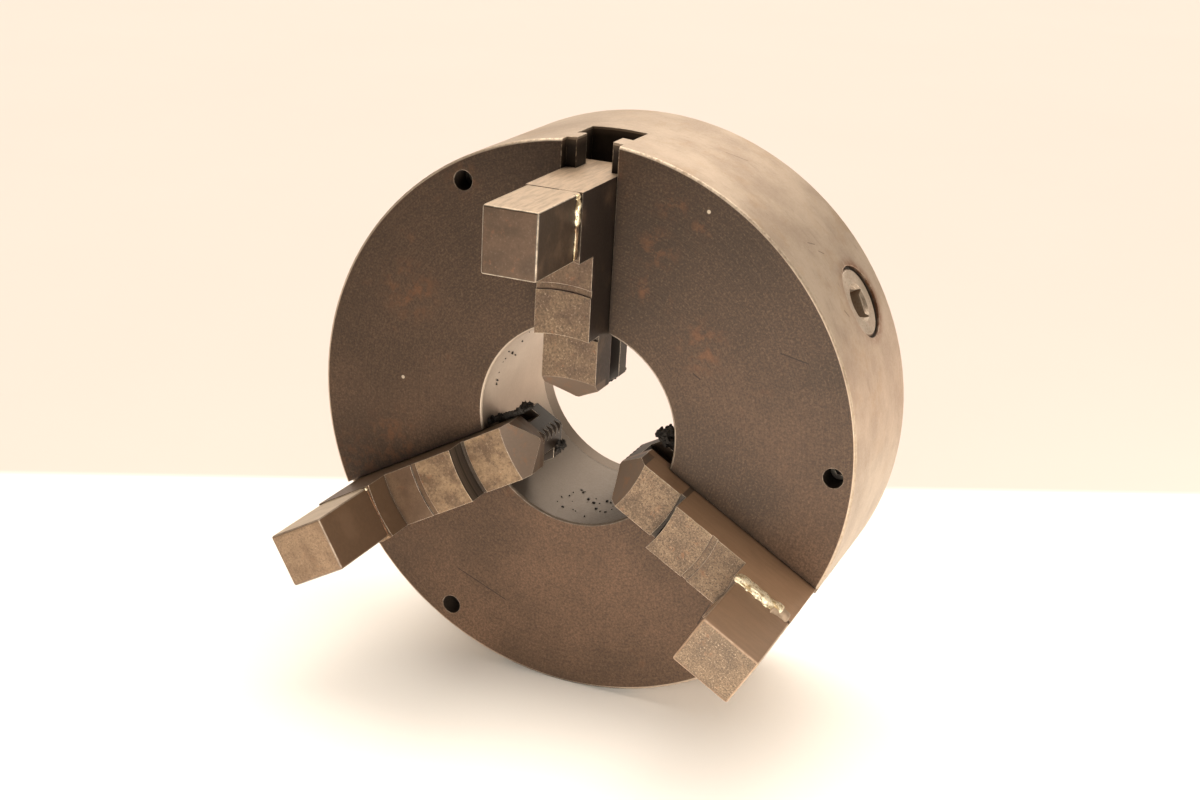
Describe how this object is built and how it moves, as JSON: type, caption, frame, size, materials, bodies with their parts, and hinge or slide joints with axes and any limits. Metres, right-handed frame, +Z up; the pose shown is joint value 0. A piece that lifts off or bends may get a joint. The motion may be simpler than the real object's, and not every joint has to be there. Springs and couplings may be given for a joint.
{
  "type": "lathe chuck",
  "caption": "Self-centring scroll chuck for a lathe, with stepped outside jaws carrying welded extension blocks, key pinions in the rim and a rear spindle register.",
  "frame": {"origin": "on the spindle axis, in the plane of the rear mounting face", "axes": "+Y along the spindle axis, out of the rear face; -Y out of the front face, where the work is held; +Z up, along the first jaw slot; +X to the right as seen from the front"},
  "size_m": [0.315, 0.1916, 0.315],
  "materials": {
    "body_iron": "machined grey iron with a dark brown patina",
    "jaw_steel": "hardened steel, speckled tan-brown, bright edges",
    "weld_metal": "bright braze bead",
    "pinion_steel": "worn steel with rust in the socket",
    "scroll_steel": "oiled turned steel",
    "bronze": "oiled bearing bronze",
    "screw_steel": "black oxide",
    "bright_steel": "ground steel",
    "grease": "black swarf and old grease"
  },
  "bodies": {
    "body": {"chuck_body": "body_iron", "rear_cover": "body_iron", "thrust_washer": "bronze", "retaining_ring": "scroll_steel", "ring_screws": "screw_steel", "front_screws": "screw_steel", "rear_screws": "screw_steel", "pinion_screws": "screw_steel", "cover_dowels": "bright_steel", "pinion_bush_1": "bronze", "pinion_washer_1": "bright_steel", "pinion_bush_2": "bronze", "pinion_washer_2": "bright_steel", "pinion_bush_3": "bronze", "pinion_washer_3": "bright_steel"},
    "scroll": {"scroll_plate": "scroll_steel"},
    "pinion_1": {"pinion_1": "pinion_steel"},
    "pinion_2": {"pinion_2": "pinion_steel"},
    "pinion_3": {"pinion_3": "pinion_steel"},
    "jaw_1": {"jaw_1": "jaw_steel", "jaw_extension_1": "jaw_steel"},
    "jaw_2": {"jaw_2": "jaw_steel", "jaw_extension_2": "jaw_steel"},
    "jaw_3": {"jaw_3": "jaw_steel", "jaw_extension_3": "jaw_steel"}
  },
  "joints": [
    {"name": "scroll_spin", "type": "hinge", "parent": "body", "child": "scroll", "pos_m": [0, -0.058, 0], "axis": [0, 1, 0], "range_deg": [-640, 960]},
    {"name": "pinion_1_spin", "type": "hinge", "parent": "body", "child": "pinion_1", "pos_m": [0, -0.038, 0], "axis": [0.866, 0, 0.5], "range_deg": [-5400, 8100]},
    {"name": "pinion_2_spin", "type": "hinge", "parent": "body", "child": "pinion_2", "pos_m": [0, -0.038, 0], "axis": [-0.866, 0, 0.5], "range_deg": [-5400, 8100]},
    {"name": "pinion_3_spin", "type": "hinge", "parent": "body", "child": "pinion_3", "pos_m": [0, -0.038, 0], "axis": [0, 0, -1], "range_deg": [-5400, 8100]},
    {"name": "jaw_1_slide", "type": "slide", "parent": "body", "child": "jaw_1", "axis": [0, 0, 1], "range_m": [-0.0202, 0.0302]},
    {"name": "jaw_2_slide", "type": "slide", "parent": "body", "child": "jaw_2", "axis": [-0.866, 0, -0.5], "range_m": [-0.0202, 0.0302]},
    {"name": "jaw_3_slide", "type": "slide", "parent": "body", "child": "jaw_3", "axis": [0.866, 0, -0.5], "range_m": [-0.0202, 0.0302]}
  ],
  "couplings": [
    {"joint": "pinion_1_spin", "follows": "scroll_spin", "ratio": 8.4},
    {"joint": "pinion_2_spin", "follows": "scroll_spin", "ratio": 8.4},
    {"joint": "pinion_3_spin", "follows": "scroll_spin", "ratio": 8.4},
    {"joint": "jaw_1_slide", "follows": "scroll_spin", "m_per_rad": 0.0017905},
    {"joint": "jaw_2_slide", "follows": "scroll_spin", "m_per_rad": 0.0017905},
    {"joint": "jaw_3_slide", "follows": "scroll_spin", "m_per_rad": 0.0017905}
  ]
}
